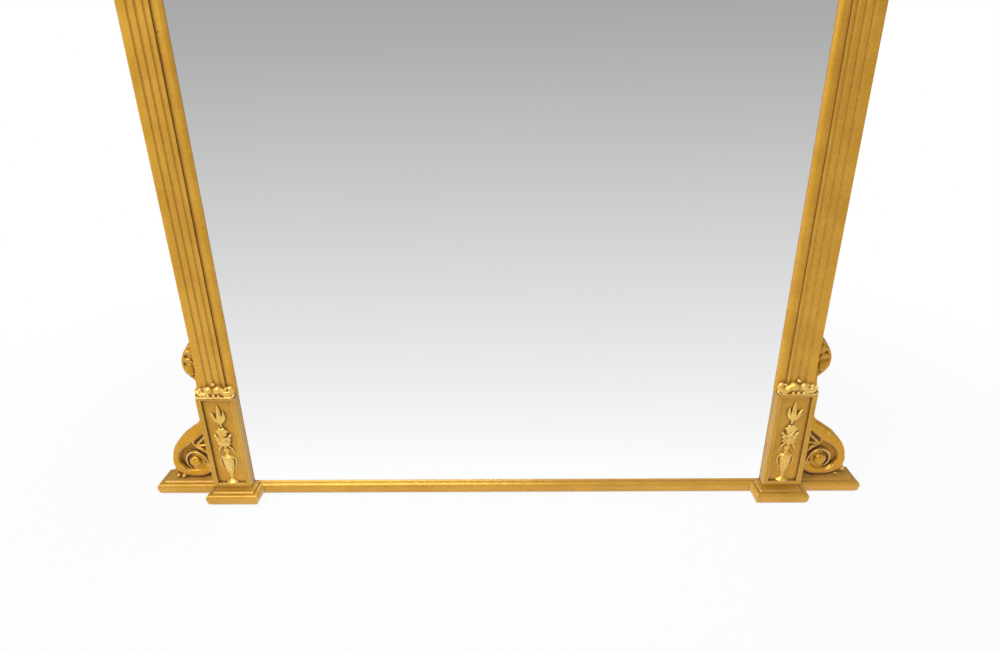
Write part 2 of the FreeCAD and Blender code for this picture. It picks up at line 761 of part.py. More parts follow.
# The board's outline: the toe, the back of the scroll, its stem and the ear.
scroll_outline_shares = (
    ((0.976, 0),),
    ((1, 0.098),),
    ((0.923, 0.2226), (0.649, 0.338)),
    ((0.351, 0.407), (0.2163, 0.488)),
    ((0.183, 0.732),),
    ((0.36, 0.832), (0.139, 0.9695)),
    ((0, 1),),
    ((0, 0),),
)
scroll_board = padded("scroll_board", "XZ_Plane", [(scroll_point(0, 0), [
    tuple(scroll_point(*point) for point in points) for points in scroll_outline_shares
])], scroll_y, wall_y)
# The eye, the ground sunk round it and the coil left standing there, as shares of the width.
eye_shares = (0.525, 0.4)
ground_offset_shares = (0.012, 0.078)
ground_radius_share = 0.335
coil_radius_share = 0.252
ring_radius_share = 0.178
eye_x = scroll_x + size.scroll_width * eye_shares[0]
eye_z = ledge_z + size.scroll_width * eye_shares[1]
eye = (eye_x, scroll_y - size.overrun, eye_z)
ground_middle = (eye_x + size.scroll_width * ground_offset_shares[0], eye[1],
                 eye_z + size.scroll_width * ground_offset_shares[1])
sink_depth = size.overrun + size.scroll_sink
ring_depth = size.overrun + size.scroll_sink * half
coil_ground = rod("coil_ground", ground_middle, size.scroll_width * ground_radius_share, sink_depth, "y")
coil = rod("coil", eye, size.scroll_width * coil_radius_share, sink_depth, "y")
eye_ring = cut("eye_ring", rod("eye_ring_outer", eye, size.scroll_width * ring_radius_share, ring_depth, "y"),
               [rod("eye_ring_inner", eye, size.rosette_radius, ring_depth, "y")])
# A sickle-shaped hollow between the stem and the leafy head of the coil.
hollow_start_shares = (0.225, 0.364)
hollow_shares = (
    ((0.29, 0.306), (0.5, 0.272)),
    ((0.35, 0.33), hollow_start_shares),
)
hollow = padded("stem_hollow", "XZ_Plane", [(scroll_point(*hollow_start_shares), [
    tuple(scroll_point(*point) for point in points) for points in hollow_shares
])], scroll_y - size.overrun, scroll_y + size.scroll_sink)
rosette_pin_hole = rod("rosette_pin_hole", (eye_x, scroll_y, eye_z), size.rosette_stem_radius,
                       size.rosette_stem_length, "y")
scroll_cuts = [cut("coil_sinking", coil_ground, [coil]), eye_ring, hollow, rosette_pin_hole,
               ledge_screw("scroll_screw_hole", "scroll")]
scroll_cuts += dowels("scroll_dowel_hole")
# Two beads at the toe, by place across the width and depth behind the face.
toe_bead_share = 0.065
toe_rise_share = 0.85
toe_place_shares = ((1, 0.5), (0.86, 0.3))
toe_bead = size.scroll_width * toe_bead_share
toe_z = ledge_z + toe_bead * toe_rise_share
scroll_lobes = [
    ball(f"toe_bead_{number}", (scroll_x + size.scroll_width * across_share,
                                scroll_y + toe_bead * depth_share, toe_z), toe_bead)
    for number, (across_share, depth_share) in enumerate(toe_place_shares)
]
# Leaves of the ear by foot, tip and swell, as shares of the bracket's width and height.
ear_leaf_shares = (
    ((0, 0.9), (0.28, 0.93), 0.18),
    ((0, 0.85), (0.33, 0.885), 0.16),
    ((0.02, 0.76), (0.24, 0.86), 0.3),
)
for number, (foot, tip, swell_share) in enumerate(ear_leaf_shares):
    scroll_lobes.append(leaf(f"ear_leaf_{number}", scroll_point(*foot), scroll_point(*tip), swell_share,
                             scroll_y - size.ear_relief, scroll_y + size.ear_relief))
scroll_limits = box("scroll_limits", (scroll_x, scroll_x + size.scroll_width * 2),
                    (scroll_y - size.overrun * 2, wall_y), (ledge_z, ledge_z + size.scroll_height * 2))
scroll_whole = common("scroll_trimmed", [
    fuse("scroll_carved", [scroll_board] + scroll_lobes), scroll_limits])
keep_pair("scroll_bracket", cut("scroll_cut", scroll_whole, scroll_cuts))
group("bracket_dowels", dowels("dowel_right") + [mirrored(f"{dowel.Name}_left", dowel)
                                                 for dowel in dowels("dowel")])

# Domed rosettes with a pin that sits in the bracket.
rosette_radius, rosette_relief = size.rosette_radius, size.rosette_relief
rosette_dome_shares = (
    ((0.55, -0.86), (0.8, -0.4)),
    ((1, -0.2),),
    ((1, 0),),
)
keep_pair("scroll_rosette", turned("rosette", "XY_Plane", (0, -rosette_relief), [
    *scaled(rosette_dome_shares, rosette_radius, rosette_relief),
    ((size.rosette_stem_radius, 0),),
    ((size.rosette_stem_radius, size.rosette_stem_length),),
    ((0, size.rosette_stem_length),),
    ((0, -rosette_relief),),
], (eye_x, scroll_y, eye_z)))

# Moulded ledge. Its edge is one profile run round every break of the plan, then parted on mitres.
def free_sketch(label, upright, start, steps, level=0):
    """A sketch by itself, lying flat at a height, or upright across Y at a depth."""
    sketch = doc.addObject("Sketcher::SketchObject", label)
    if upright:
        sketch.Placement.Rotation = FreeCAD.Rotation(FreeCAD.Vector(1, 0, 0), 90)
    sketch.setExpression("Placement.Base.y" if upright else "Placement.Base.z", as_length(level).text)
    draw(sketch, start, steps)
    return sketch


def open_path(label, points, level):
    """An open line through points of the plan, at a height."""
    sketch = doc.addObject("Sketcher::SketchObject", label)
    vectors = [FreeCAD.Vector(float(x), float(y), 0) for x, y in points]
    for begin, end in zip(vectors, vectors[1:]):
        sketch.addGeometry(Part.LineSegment(begin, end))
    for index in range(len(points) - 2):
        sketch.addConstraint(Sketcher.Constraint("Coincident", index, 2, index + 1, 1))
    for index, point in enumerate(points):
        edge, end = (index, 1) if index < len(points) - 1 else (index - 1, 2)
        for kind, length in zip(("DistanceX", "DistanceY"), point):
            number = sketch.addConstraint(Sketcher.Constraint(kind, -1, 1, edge, end, float(length)))
            sketch.setExpression(f"Constraints[{number}]", as_length(length).text)
    sketch.setExpression("Placement.Base.z", as_length(level).text)
    return sketch


def moulding_run(label, profile, path):
    run = doc.addObject("Part::Sweep", label)
    run.Sections = [profile]
    run.Spine = (path, [])
    run.Solid = True
    run.Transition = "Right corner"
    return run


def both_sides(points):
    """The plan of the right half, given outwards, with its mirror image before it."""
    return [(-x, y) for x, y in reversed(points)] + points


rail_front = glass_y - size.rail_reach
block_front = glass_y - size.block_reach
edge = size.edge_depth
nosing_z = ledge_z - size.nosing_drop
quirk_end = size.quirk_inset + size.quirk_width
bead_end = quirk_end + size.bead_width
under, rise, swell, top_round = size.under_round, size.under_rise, size.nosing_swell, size.nosing_round
ledge_profile = free_sketch("ledge_profile", True, (-wing_x + edge, 0), [
    ((-wing_x + depth_in, level),) if bend is None else
    ((-wing_x + bend[0], bend[1]), (-wing_x + depth_in, level))
    for bend, depth_in, level in (
        (None, under, 0),
        ((swell + (under - swell) * round_share, rise * round_share), swell, rise),
        ((0, (rise + nosing_z - top_round) * half), swell, nosing_z - top_round),
        ((swell + top_round * round_share, nosing_z - top_round * round_share), swell + top_round, nosing_z),
        (None, size.quirk_inset, nosing_z),
        (None, size.quirk_inset + size.quirk_width * half, nosing_z - size.quirk_depth),
        (None, quirk_end, ledge_z),
        ((quirk_end + size.bead_width * half, ledge_z + size.bead_rise), bead_end, ledge_z),
        (None, edge, ledge_z),
        (None, edge, 0),
    )
], wall_y)
ledge_path = open_path("ledge_path", both_sides([
    (block_x, rail_front), (block_x, block_front), (block_outer_x, block_front),
    (block_outer_x, rail_front), (wing_x, rail_front), (wing_x, wall_y),
]), 0)
ledge_core = padded("ledge_core", "XY_Plane", [polygon(both_sides([
    (block_x + edge, rail_front + edge), (block_x + edge, block_front + edge),
    (block_outer_x - edge, block_front + edge), (block_outer_x - edge, rail_front + edge),
    (wing_x - edge, rail_front + edge), (wing_x - edge, wall_y),
]))], 0, ledge_z)
ledge_whole = fuse("ledge_whole", [moulding_run("ledge_edge", ledge_profile, ledge_path), ledge_core])


def plan_piece(label, whole, points, low, high):
    """The part of a moulding over a plan, which is how its pieces are mitred."""
    limits = padded(f"{label}_limits", "XY_Plane", [polygon(points)], low - size.overrun,
                    high + size.overrun)
    return common(f"{label}_piece", [whole, limits])


before_ledge = block_front - size.overrun
glass_groove = box("glass_groove", (-stile_x, stile_x), (glass_y, glass_back),
                   (ledge_z - size.glass_lap, ledge_z + size.overrun))
rail_piece = plan_piece("base_rail", ledge_whole, both_sides([
    (block_x, before_ledge), (block_x, rail_front), (block_x + edge, rail_front + edge),
    (block_x + edge, wall_y),
]), 0, ledge_z)
rail_cuts = [glass_groove]
for side in (-1, 1):
    rail_cuts.append(ledge_screw(f"base_rail_screw_{side}", "rail", side))
    rail_cuts.append(ledge_screw_well(f"base_rail_well_{side}", "rail", side))
keep("base_rail", cut("base_rail_cut", rail_piece, rail_cuts))
block_piece = plan_piece("base_block", ledge_whole, [
    (block_x - size.overrun, before_ledge), (block_outer_x + size.overrun, before_ledge),
    (block_outer_x + size.overrun, rail_front), (block_outer_x, rail_front),
    (block_outer_x - edge, rail_front + edge), (block_outer_x - edge, wall_y),
    (block_x + edge, wall_y), (block_x + edge, rail_front + edge), (block_x, rail_front),
    (block_x - size.overrun, rail_front),
], 0, ledge_z)
block_cuts = [glass_groove]
for name in ("stile", "plinth"):
    block_cuts.append(ledge_screw(f"base_block_screw_{name}", name))
    block_cuts.append(ledge_screw_well(f"base_block_well_{name}", name))
keep_pair("base_block", cut("base_block_cut", block_piece, block_cuts))
wing_piece = plan_piece("base_wing", ledge_whole, [
    (block_outer_x, before_ledge), (wing_x + size.overrun, before_ledge),
    (wing_x + size.overrun, wall_y), (block_outer_x - edge, wall_y),
    (block_outer_x - edge, rail_front + edge), (block_outer_x, rail_front),
], 0, ledge_z)
keep_pair("base_wing", cut("base_wing_cut", wing_piece, [
    ledge_screw("base_wing_screw", "scroll"), ledge_screw_well("base_wing_well", "scroll")]))
group("ledge_screws", [ledge_screw(f"ledge_screw_{name}_{side}", name, side)
                       for name in screw_places for side in (-1, 1)])

# Capital blocks over the pilasters, each with a band at its head and foot, and a turned patera.
capital_y = glass_y - size.capital_reach
capital_x = (pilaster_x - size.capital_overhang, outer_x + size.capital_overhang)
capital_middle = (capital_x[0] + capital_x[1]) * half
band, band_reach = size.capital_moulding, size.capital_overhang * half
capital_body = padded("capital_body", "YZ_Plane", [polygon([
    (glass_y, pilaster_z), (glass_y, frieze_z), (capital_y - band_reach, frieze_z),
    (capital_y - band_reach, frieze_z - band), (capital_y, frieze_z - band),
    (capital_y, pilaster_z + band), (capital_y - band_reach, pilaster_z + band),
    (capital_y - band_reach, pilaster_z),
])], capital_x[0], capital_x[1])
keep_pair("capital_block", capital_body)
patera_radius, patera_relief = size.patera_radius, size.patera_relief
# A button, a hollow, a swelling ring and a flat rim, by radius and relief.
patera_shares = (
    ((0, -1),),
    ((0.2, -0.9), (0.3, -0.5)),
    ((0.36, -0.4),),
    ((0.56, -0.8), (0.78, -0.4)),
    ((0.82, -0.5),),
    ((1, -0.45),),
    ((1, 0),),
    ((0, 0),),
)
patera = turned("patera", "XY_Plane", (0, 0), scaled(patera_shares, patera_radius, patera_relief),
                (capital_middle, capital_y, (pilaster_z + frieze_z) * half))
keep_pair("patera", patera)

# Frieze board between the capitals, on the face of the top rail.
frieze_y = glass_y - size.frieze_reach
keep("frieze_board", box("frieze", (-capital_x[0], capital_x[0]), (frieze_y, glass_y), (pilaster_z, frieze_z)))

# Cornice: one profile run round the breaks over the capitals, in three pieces, with a dust board.
projection = size.cornice_projection
cornice_depth = projection + size.cornice_back
cornice_front = frieze_y - projection
cornice_break_front = capital_y - projection
break_x = (capital_x[0] - projection, capital_x[1] + projection)


def cornice_point(in_share, up_share):
    """A point of the profile, in from its edge and up, at the start of the run."""
    return -break_x[1] + projection * in_share, frieze_z + size.cornice_height * up_share


# Fascia, cavetto, corona, ovolo and top fillet.
cornice_shares = (
    ((1, 0),),
    ((1, 0.08),),
    ((0.74, 0.15), (0.66, 0.34)),
    ((0.58, 0.34),),
    ((0.58, 0.4),),
    ((0.36, 0.4),),
    ((0.36, 0.64),),
    ((0.3, 0.64),),
    ((0.27, 0.74), (0.16, 0.79)),
    ((0.08, 0.83), (0.06, 0.91)),
    ((0, 0.91),),
    ((0, 1),),
)
cornice_profile = free_sketch("cornice_profile", True, (-break_x[1] + cornice_depth, frieze_z), [
    *[tuple(cornice_point(*point) for point in points) for points in cornice_shares],
    ((-break_x[1] + cornice_depth, cornice_z),),
    ((-break_x[1] + cornice_depth, frieze_z),),
], wall_y)
cornice_path = open_path("cornice_path", both_sides([
    (break_x[0], cornice_front), (break_x[0], cornice_break_front),
    (break_x[1], cornice_break_front), (break_x[1], wall_y),
]), frieze_z)
cornice_whole = moulding_run("cornice_run", cornice_profile, cornice_path)
before_cornice = cornice_break_front - size.overrun
centre_ends = [(break_x[0], cornice_front), (break_x[0] + cornice_depth, cornice_front + cornice_depth)]
keep("cornice_centre", plan_piece("cornice_centre", cornice_whole, both_sides(
    [(break_x[0], before_cornice)] + centre_ends), frieze_z, cornice_z))
keep_pair("cornice_break", plan_piece("cornice_break", cornice_whole, [
    (break_x[0] - size.overrun, before_cornice), (break_x[1] + size.overrun, before_cornice),
    (break_x[1] + size.overrun, wall_y), (centre_ends[1][0], wall_y),
    centre_ends[1], centre_ends[0], (break_x[0] - size.overrun, cornice_front),
], frieze_z, cornice_z))
inset = size.top_board_inset
keep("top_board", padded("top_board_body", "XY_Plane", [polygon(both_sides([
    (break_x[0] + inset, cornice_front + inset), (break_x[0] + inset, cornice_break_front + inset),
    (break_x[1] - inset, cornice_break_front + inset), (break_x[1] - inset, wall_y),
]))], cornice_z, cornice_z + size.top_board_thickness))

# Brass wall plates let into the back of the stiles, with a tab for a screw into the wall.
wall_hole = rod("wall_hole", (wall_hole_x, wall_y - size.wall_plate_thickness - size.overrun, plate_z),
                size.wall_hole_radius, size.wall_plate_thickness + size.overrun * 2, "y")
keep_pair("wall_plate", cut("wall_plate_cut", plate_blank("wall_plate_blank"),
                            [wall_hole] + plate_screws("wall_plate_screw_hole")))
right_plate_screws = plate_screws("plate_screw")
group("wall_plate_screws", right_plate_screws + [
    mirrored(f"{screw.Name}_left", screw) for screw in right_plate_screws])

# Every object is sound before anything is written.
doc.recompute()
for thing in doc.Objects:
    if "Invalid" in thing.State or "Error" in thing.State:
        raise RuntimeError(f"{thing.Label} failed: {thing.State}")
for label, thing in sub_parts.items():
    if thing.Shape.isNull() or not thing.Shape.isValid():
        raise RuntimeError(f"{label} has no sound shape")
    if not thing.Shape.Solids:
        raise RuntimeError(f"{label} holds no solid")
for label, thing in sub_parts.items():
    thing.Shape.exportStep(f"parts/{label}.step")
print(len(sub_parts), "sub-parts written")
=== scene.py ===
import json
import math

import bmesh
import bpy
from mathutils import Matrix, Vector, noise

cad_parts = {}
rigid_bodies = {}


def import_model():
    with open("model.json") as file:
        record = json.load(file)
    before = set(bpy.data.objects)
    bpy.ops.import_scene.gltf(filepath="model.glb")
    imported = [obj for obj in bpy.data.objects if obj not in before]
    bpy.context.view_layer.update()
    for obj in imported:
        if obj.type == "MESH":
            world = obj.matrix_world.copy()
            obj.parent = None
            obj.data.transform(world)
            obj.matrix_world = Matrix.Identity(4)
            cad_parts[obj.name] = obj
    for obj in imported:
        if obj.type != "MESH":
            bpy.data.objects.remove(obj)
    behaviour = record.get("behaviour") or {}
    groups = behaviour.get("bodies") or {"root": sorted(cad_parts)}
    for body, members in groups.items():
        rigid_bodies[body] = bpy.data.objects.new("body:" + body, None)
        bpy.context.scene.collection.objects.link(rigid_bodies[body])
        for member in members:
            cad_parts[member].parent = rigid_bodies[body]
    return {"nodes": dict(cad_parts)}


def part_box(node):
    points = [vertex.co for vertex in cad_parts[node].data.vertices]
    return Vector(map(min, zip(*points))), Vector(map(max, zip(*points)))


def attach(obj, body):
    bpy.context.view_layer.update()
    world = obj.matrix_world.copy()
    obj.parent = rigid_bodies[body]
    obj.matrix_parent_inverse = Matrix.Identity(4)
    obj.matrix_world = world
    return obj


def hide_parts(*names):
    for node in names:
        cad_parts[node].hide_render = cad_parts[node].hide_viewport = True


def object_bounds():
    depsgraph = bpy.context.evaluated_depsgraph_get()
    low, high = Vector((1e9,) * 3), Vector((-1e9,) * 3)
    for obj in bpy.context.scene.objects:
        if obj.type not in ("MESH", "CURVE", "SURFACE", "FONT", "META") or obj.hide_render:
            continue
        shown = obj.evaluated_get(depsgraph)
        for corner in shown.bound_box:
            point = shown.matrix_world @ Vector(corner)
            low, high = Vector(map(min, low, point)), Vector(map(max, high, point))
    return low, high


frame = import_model()
cad_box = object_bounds()
scene = bpy.context.scene
scene.view_settings.view_transform = "Standard"
MM = 0.001

# Carcase. Two stiles and three rails of old pine, tenoned together and pegged with beech, with
# glazing blocks rubbed in behind the glass and a dust board on top. The grain follows each board.


class Socket:
    """A shader socket, on which the arithmetic signs add Math nodes."""

    def __init__(self, tree, socket):
        self.tree = tree
        self.socket = socket

    def maths(self, operation, *values):
        return self.tree.node("ShaderNodeMath", {"operation": operation}, values)[0]

    def __add__(self, other):
        return self.maths("ADD", self, other)

    def __sub__(self, other):
        return self.maths("SUBTRACT", self, other)

    def __rsub__(self, other):
        return self.maths("SUBTRACT", other, self)

    def __mul__(self, other):
        return self.maths("MULTIPLY", self, other)

    def __truediv__(self, other):
        return self.maths("DIVIDE", self, other)

    def __rtruediv__(self, other):
        return self.maths("DIVIDE", other, self)

    def above(self, low, high):
        """0 up to low, 1 from high on, and a smooth rise between them."""
        return self.tree.node("ShaderNodeMapRange", {"interpolation_type": "SMOOTHSTEP"},
                              (self, low, high, 0.0, 1.0))[0]

    __radd__ = __add__
    __rmul__ = __mul__


class Tree:
    """The nodes of one material, or of the world."""

    def __init__(self, owner):
        owner.use_nodes = True
        self.nodes = owner.node_tree.nodes
        self.links = owner.node_tree.links
        self.nodes.clear()

    def node(self, kind, settings=None, inputs=()):
        """Adds a node: its settings, then its inputs in order or by name. Returns its outputs."""
        made = self.nodes.new(kind)
        for name, value in (settings or {}).items():
            setattr(made, name, value)
        pairs = inputs.items() if isinstance(inputs, dict) else enumerate(inputs)
        for key, value in pairs:
            if isinstance(value, Socket):
                self.links.new(value.socket, made.inputs[key])
            elif value is not None:
                made.inputs[key].default_value = value
        return [Socket(self, output) for output in made.outputs]

    def place(self, stretch=(1, 1, 1)):
        """Object coordinates, each axis times its stretch."""
        coordinates = self.node("ShaderNodeTexCoord")[3]
        return self.node("ShaderNodeMapping", inputs={"Vector": coordinates, "Scale": stretch})[0]

    def noise(self, size, detail=3, stretch=(1, 1, 1)):
        """Noise from 0 to 1 in blotches of about this size in metres."""
        return self.node("ShaderNodeTexNoise", inputs={
            "Vector": self.place(stretch), "Scale": 1 / size, "Detail": detail})[0]

    def spots(self, spacing, stretch=(1, 1, 1)):
        """Distance to the nearest of scattered spots, as a share of their spacing."""
        return self.node("ShaderNodeTexVoronoi", inputs={
            "Vector": self.place(stretch), "Scale": 1 / spacing})[0]

    def blend(self, share, first, second):
        """A colour that goes from the first to the second as the share goes from 0 to 1."""
        inputs = {0: share, 6: first, 7: second}
        for key in (6, 7):
            if not isinstance(inputs[key], Socket):
                inputs[key] = (*inputs[key], 1)
        return self.node("ShaderNodeMix", {"data_type": "RGBA"}, inputs)[2]

    def bump(self, height, distance, normal=None):
        return self.node("ShaderNodeBump", inputs={
            "Distance": distance, "Height": height, "Normal": normal})[0]

    def surface(self, **inputs):
        """The principled shader, straight to the output."""
        named = {name.replace("_", " "): value for name, value in inputs.items()}
        shader = self.node("ShaderNodeBsdfPrincipled", inputs=named)[0]
        self.node("ShaderNodeOutputMaterial", inputs={"Surface": shader})


def colour(red, green, blue):
    """Screen values from 0 to 255 as the linear values that a shader takes."""
    return tuple(value / 255 / 12.92 if value <= 10 else ((value / 255 + 0.055) / 1.055) ** 2.4
                 for value in (red, green, blue))


def new_material(name):
    material = bpy.data.materials.new(name)
    return material, Tree(material)


def dress(material, *names):
    """Gives a material to the CAD nodes with these names, or with names that start so."""
    for name, node in frame["nodes"].items():
        if name.startswith(names):
            node.data.materials.clear()
            node.data.materials.append(material)


def timber(name, along, pale, dark, ring, knots):
    """Wood with its grain along one axis: growth rings, fine pores, knots and handling dirt."""
    material, tree = new_material(name)
    run = tuple(0.05 if axis == along else 1 for axis in "XYZ")
    growth = tree.noise(ring * 6, 2, run) * 9
    year = growth.maths("FRACT", growth)
    rings = year.above(0.1, 0.8) - year.above(0.85, 1)
    pores = tree.noise(0.0016, 3, run).above(0.45, 0.75)
    dirt = tree.noise(0.22, 4).above(0.45, 0.7)
    knot_run = tuple(0.45 if axis == along else 1 for axis in "XYZ")
    knot = 1 - tree.spots(knots, knot_run).above(0.02, 0.09)
    grain = rings * 0.55 + pores * 0.25
    wood = tree.blend(grain, pale, dark)
    wood = tree.blend(dirt * 0.45, wood, colour(92, 68, 46))
    wood = tree.blend(knot * 0.85, wood, colour(70, 42, 22))
    relief = tree.bump(grain * -0.5 + tree.noise(0.004, 3, run) * 0.5, 0.0004)
    tree.surface(Base_Color=wood, Roughness=0.62 + pores * 0.18, Normal=relief)
    return material


upright_pine = timber("old_pine_upright", "Z", pale=colour(188, 148, 98), dark=colour(140, 98, 56),
                      ring=0.006, knots=0.42)
level_pine = timber("old_pine_level", "X", pale=colour(192, 152, 102), dark=colour(142, 100, 58),
                    ring=0.006, knots=0.42)
dress(upright_pine, "stile", "glazing_blocks")
dress(level_pine, "top_rail", "middle_rail", "bottom_rail", "top_board")
beech = timber("beech", "Y", pale=colour(206, 160, 112), dark=colour(172, 122, 78), ring=0.003, knots=0.9)
dress(beech, "joint_pegs", "bracket_dowels")

# Backboards. Rough-sawn pine boards nailed up the back, browner than the carcase from a century of
# dust, with cut iron nails that have rusted a little.
board_pine = timber("backboard_pine", "Z", pale=colour(166, 126, 82), dark=colour(116, 80, 48),
                    ring=0.009, knots=0.3)
dress(board_pine, "back_board")
iron, tree = new_material("cut_iron")
rust = tree.noise(0.004, 5).above(0.42, 0.66)
tree.surface(Base_Color=tree.blend(rust, colour(86, 82, 80), colour(112, 62, 34)),
             Metallic=0.85 - rust * 0.7, Roughness=0.42 + rust * 0.4,
             Normal=tree.bump(tree.noise(0.002, 4), 0.0003))
dress(iron, "back_board_nails", "ledge_screws")

# Mirror plate. One silvered sheet in the rebate of the sight mouldings, clear, with the faint
# mottling that old silvering has.
silver, tree = new_material("silvered_glass")
cloud = tree.noise(0.3, 3).above(0.4, 0.8)
speck = 1 - tree.spots(0.05).above(0.02, 0.05)
age = speck * tree.noise(0.4, 2).above(0.62, 0.75)
bright_silver = (0.95, 0.955, 0.955)
worn_silver = (0.7, 0.68, 0.64)
tree.surface(Base_Color=tree.blend(age * 0.35 + cloud * 0.04, bright_silver, worn_silver),
             Metallic=1.0, Roughness=0.006 + age * 0.1)
dress(silver, "mirror_plate")

# Gilded mouldings. Pine run to section, coated with gesso and yellow bole and laid with gold leaf,
# with painted shade in brown in the hollows and a painted highlight on the edges.


# The pale gold of the painted highlight, and the bole that chips lay bare.
painted_highlight_gold = colour(255, 236, 158)
bared_bole = colour(104, 62, 28)


def gilding(name, pale, deep, painted_shade_colour, reach, ease, on_carving=False):
    """Gold leaf with painted shade in hollows narrower than the reach, and a painted highlight on edges,
    which look eased.
    """
    material, tree = new_material(name)
    leaf = tree.noise(0.07, 2).above(0.35, 0.65)
    fleck = tree.noise(0.005, 4).above(0.35, 0.7)
    gold = tree.blend(leaf * 0.55 + fleck * 0.45, pale, deep)
    open_share = tree.node("ShaderNodeAmbientOcclusion", {"samples": 8}, {"Distance": reach})[1]
    # Painted shade: where the occlusion finds little open space, in hollows, creases and between parts, the
    # gold darkens towards the shade colour.
    painted_hollow_shade = 1 - (open_share.above(0.34, 0.9) if on_carving else open_share.above(0.2, 0.86))
    eased = tree.node("ShaderNodeBevel", {"samples": 4}, {"Radius": ease})[0]
    shape_of = tree.node("ShaderNodeNewGeometry")
    flat_share = tree.node("ShaderNodeVectorMath", {"operation": "DOT_PRODUCT"}, (eased, shape_of[1]))[1]
    # Painted highlight: a pale gold where the eased normal turns from the true one at edges, and on carving
    # where it swells, except in closed-in hollows.
    painted_highlight = (1 - flat_share).above(0.015, 0.16) * open_share.above(0.55, 0.9)
    if on_carving:
        pointiness = shape_of[7]
        painted_highlight = pointiness.above(0.51, 0.57) * open_share.above(0.45, 0.85)
    # The painted shade, broken up a little by noise, darkens the gold and also roughens it.
    painted_shade_share = painted_hollow_shade * (0.75 + 0.4 * tree.noise(0.004, 3))
    gold = tree.blend(painted_shade_share, gold, painted_shade_colour)
    gold = tree.blend(painted_highlight * 0.85, gold, painted_highlight_gold)
    chips = (1 - tree.spots(0.045).above(0.03, 0.05)) * tree.noise(0.15, 2).above(0.52, 0.6)
    gold = tree.blend(chips * 0.8, gold, bared_bole)
    uneven = tree.noise(0.0035, 4) * 0.6 + tree.noise(0.018, 2) * 0.8
    burnish = 0.27 if on_carving else 0.32
    tree.surface(Base_Color=gold, Metallic=0.5, Roughness=burnish + fleck * 0.1 + painted_shade_share * 0.25,
                 Specular_IOR_Level=0.2 if on_carving else 0.5,
                 Normal=tree.bump(uneven, 0.0005, eased))
    return material


# Each gilding's shade colour is the painted shade that its hollows take.
gold_leaf = gilding("gold_leaf", pale=colour(218, 164, 58), deep=colour(198, 143, 40),
                    painted_shade_colour=colour(92, 46, 6), reach=0.01, ease=0.0022)
flute_leaf = gilding("flute_leaf", pale=colour(228, 173, 60), deep=colour(208, 150, 42),
                     painted_shade_colour=colour(166, 106, 26), reach=0.012, ease=0.0012)
ledge_leaf = gilding("ledge_leaf", pale=colour(223, 167, 61), deep=colour(205, 149, 45),
                     painted_shade_colour=colour(126, 74, 14), reach=0.008, ease=0.0036)
scroll_leaf = gilding("scroll_leaf", pale=colour(222, 165, 54), deep=colour(202, 144, 36),
                      painted_shade_colour=colour(116, 60, 6), reach=0.019, ease=0.0012, on_carving=True)
bright_leaf = gilding("bright_leaf", pale=colour(252, 213, 119), deep=colour(235, 183, 78),
                      painted_shade_colour=colour(136, 80, 14), reach=0.007, ease=0.0008, on_carving=True)
dress(gold_leaf, "plinth_", "frieze", "capital", "cornice")
dress(flute_leaf, "pilaster", "sight_moulding")
dress(ledge_leaf, "base_")
gold_leaves = (gold_leaf, flute_leaf, ledge_leaf, scroll_leaf, bright_leaf)

# Leafy collars. A crest of balls, beads and curling leaves on a wavy fillet, carved in lime, glued
# over the joint of pilaster and plinth, and run together by the gesso under the gold.


def smooth_line(points, steps):
    """Rows of numbers between the given rows, on a smooth curve through them."""
    rows = [points[0], *points, points[-1]]
    line = []
    for first, start, end, last in zip(rows, rows[1:], rows[2:], rows[3:]):
        for step in range(steps):
            t = step / steps
            line.append([
                b + 0.5 * t * (c - a + t * (2 * a - 5 * b + 4 * c - d + t * (3 * (b - c) + d - a)))
                for a, b, c, d in zip(first, start, end, last)])
    line.append(list(points[-1]))
    return line


def cut_at(place, ahead, wide, deep):
    """The plane of a cut across a carved member, scaled to its half width and half depth."""
    ahead = ahead.normalized()
    side = Vector((0, -1, 0)).cross(ahead).normalized()
    front = ahead.cross(side)
    return Matrix.Translation(place) @ Matrix((side * wide, front * deep, ahead)).transposed().to_4x4()


thinnest = 0.25


def member(shape, points, steps=5, flat=1.0, scallops=0):
    """A member carved along a line: a disc at its start, extruded from cut to cut. A point has its
    place, half width and half depth in millimetres. A flat below 1 squares the member's section."""
    line = smooth_line(points, steps)
    places = [Vector(row[:3]) * MM for row in line]
    cuts = []
    for index, row in enumerate(line):
        ahead = places[min(index + 1, len(line) - 1)] - places[max(index - 1, 0)]
        lobe = 1 - 0.3 * abs(math.cos(math.pi * scallops * index / len(line))) if scallops else 1
        wide, deep = max(row[3] * lobe, thinnest), max(row[4], thinnest)
        cuts.append(cut_at(places[index], ahead, wide * MM, deep * MM))
    disc = bmesh.ops.create_circle(shape, cap_ends=True, segments=14, radius=1)["verts"]
    for corner in disc:
        corner.co = [math.copysign(abs(value) ** flat, value) for value in corner.co]
    bmesh.ops.transform(shape, matrix=cuts[0], verts=disc)
    face = disc[0].link_faces[0]
    for before, after in zip(cuts, cuts[1:]):
        grown = bmesh.ops.extrude_face_region(shape, geom=[face])["geom"]
        face = next(item for item in grown if isinstance(item, bmesh.types.BMFace))
        bmesh.ops.transform(shape, matrix=after @ before.inverted(), verts=face.verts)


def leaf(shape, points, scallops=3):
    """A leaf from foot to tip, with a scalloped edge and a rib standing on its face."""
    member(shape, points, steps=7, flat=0.8, scallops=scallops)
    member(shape, [(x, y - deep * 0.75, z, max(wide * 0.16, 0.5), deep * 0.5)
                   for x, y, z, wide, deep in points], steps=4)


def bead(shape, x, y, z, radius, tall=1.0):
    """A carved ball, or an egg if it is taller than wide."""
    where = Matrix.Translation(Vector((x, y, z)) * MM) @ Matrix.Diagonal((1, 1, tall, 1))
    bmesh.ops.create_icosphere(shape, subdivisions=3, radius=radius * MM, matrix=where)


broad_waves, fine_waves = 160, 420
waver = 0.3 * MM


